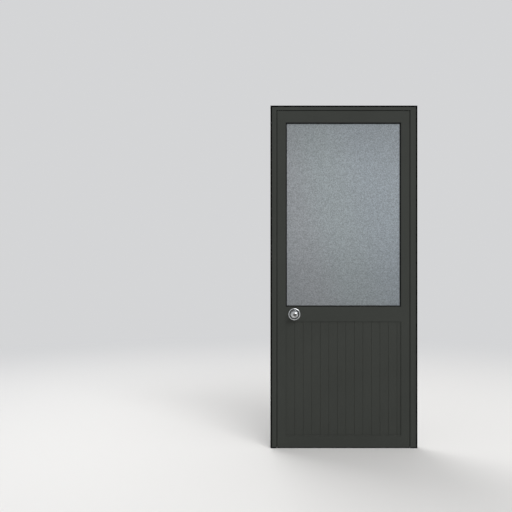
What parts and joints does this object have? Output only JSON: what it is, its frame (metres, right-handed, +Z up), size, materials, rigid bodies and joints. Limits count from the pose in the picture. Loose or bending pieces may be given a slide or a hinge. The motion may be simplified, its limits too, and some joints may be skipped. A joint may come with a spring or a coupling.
{
  "type": "glass door with frame",
  "caption": "Half-glazed aluminium door in a three-sided frame, with an obscure glass pane above, vertical tongue-and-groove boards below and a round knob lock.",
  "frame": {"origin": "on the floor, at the middle of the frame's width and of the leaf's thickness", "axes": "+X across the door towards the hinges, +Y inwards, +Z up"},
  "size_m": [0.9, 0.1795, 2.1],
  "materials": {
    "frame_coat": "satin powder coat, dark grey-green",
    "board_coat": "satin powder coat, dark grey-green",
    "black_seal": "matte black",
    "black_gasket": "satin black",
    "black_nylon": "matte black",
    "obscure_glass": "obscure, fine grain",
    "chrome": "polished chrome plate",
    "lock_steel": "brushed",
    "hinge_steel": "brushed",
    "screw_steel": "zinc plated",
    "spring_steel": "bright wire"
  },
  "bodies": {
    "frame": {"frame_jamb_lock": "frame_coat", "frame_jamb_hinge": "frame_coat", "frame_head": "frame_coat", "frame_corner_screws": "screw_steel", "wall_seal_lock": "black_seal", "wall_seal_hinge": "black_seal", "wall_seal_head": "black_seal", "stop_gasket_lock": "black_gasket", "stop_gasket_hinge": "black_gasket", "stop_gasket_head": "black_gasket", "strike_plate": "lock_steel", "strike_screws": "screw_steel", "hinge_frame_wing_top": "hinge_steel", "hinge_frame_wing_middle": "hinge_steel", "hinge_frame_wing_bottom": "hinge_steel", "hinge_pins": "hinge_steel", "hinge_frame_screws": "screw_steel"},
    "leaf": {"hinge_leaf_wing_top": "hinge_steel", "hinge_leaf_wing_middle": "hinge_steel", "hinge_leaf_wing_bottom": "hinge_steel", "hinge_bushes": "black_nylon", "hinge_leaf_screws": "screw_steel", "leaf_stile_lock": "frame_coat", "leaf_stile_hinge": "frame_coat", "leaf_rail_top": "frame_coat", "leaf_rail_middle": "frame_coat", "leaf_rail_bottom": "frame_coat", "leaf_tie_screws": "screw_steel", "floor_seal": "black_seal", "glass_pane": "obscure_glass", "glass_gasket_outer": "black_gasket", "glass_gasket_inner": "black_gasket", "glass_setting_blocks": "black_nylon", "glass_bead_top": "frame_coat", "glass_bead_bottom": "frame_coat", "glass_bead_lock": "frame_coat", "glass_bead_hinge": "frame_coat", "panel_bead_top": "frame_coat", "panel_bead_bottom": "frame_coat", "panel_bead_lock": "frame_coat", "panel_bead_hinge": "frame_coat", "panel_seal_strips": "black_gasket", "panel_gasket_inner": "black_gasket", "panel_board_first": "board_coat", "panel_boards": "board_coat", "panel_board_last": "board_coat", "rose_outside": "chrome", "rose_inside": "chrome", "lock_chassis": "lock_steel", "lock_through_bolts": "screw_steel", "latch_case": "lock_steel", "latch_spring": "spring_steel", "latch_faceplate": "lock_steel", "faceplate_screws": "screw_steel"},
    "knobs": {"knob_outside": "chrome", "knob_inside": "chrome", "knob_spindle": "lock_steel"},
    "latch": {"latch_bolt": "lock_steel"},
    "key": {"key_plug": "lock_steel"},
    "button": {"turn_button": "chrome"}
  },
  "joints": [
    {"name": "leaf_swing", "type": "hinge", "parent": "frame", "child": "leaf", "pos_m": [0.41625, 0.0305, 0], "axis": [0, 0, -1], "range_deg": [0, 95]},
    {"name": "knob_turn", "type": "hinge", "parent": "leaf", "child": "knobs", "pos_m": [-0.3043, 0, 0.82175], "axis": [0, 1, 0], "range_deg": [-60, 0]},
    {"name": "latch_slide", "type": "slide", "parent": "leaf", "child": "latch", "axis": [-1, 0, 0], "range_m": [0, 0.012], "deforming": ["latch_spring"]},
    {"name": "key_turn", "type": "hinge", "parent": "knobs", "child": "key", "pos_m": [-0.3043, 0, 0.82175], "axis": [0, 1, 0], "range_deg": [-90, 90]},
    {"name": "button_turn", "type": "hinge", "parent": "knobs", "child": "button", "pos_m": [-0.3043, 0, 0.82175], "axis": [0, 1, 0], "range_deg": [0, 90]}
  ],
  "couplings": [
    {"joint": "latch_slide", "follows": "knob_turn", "m_per_rad": -0.01145}
  ]
}
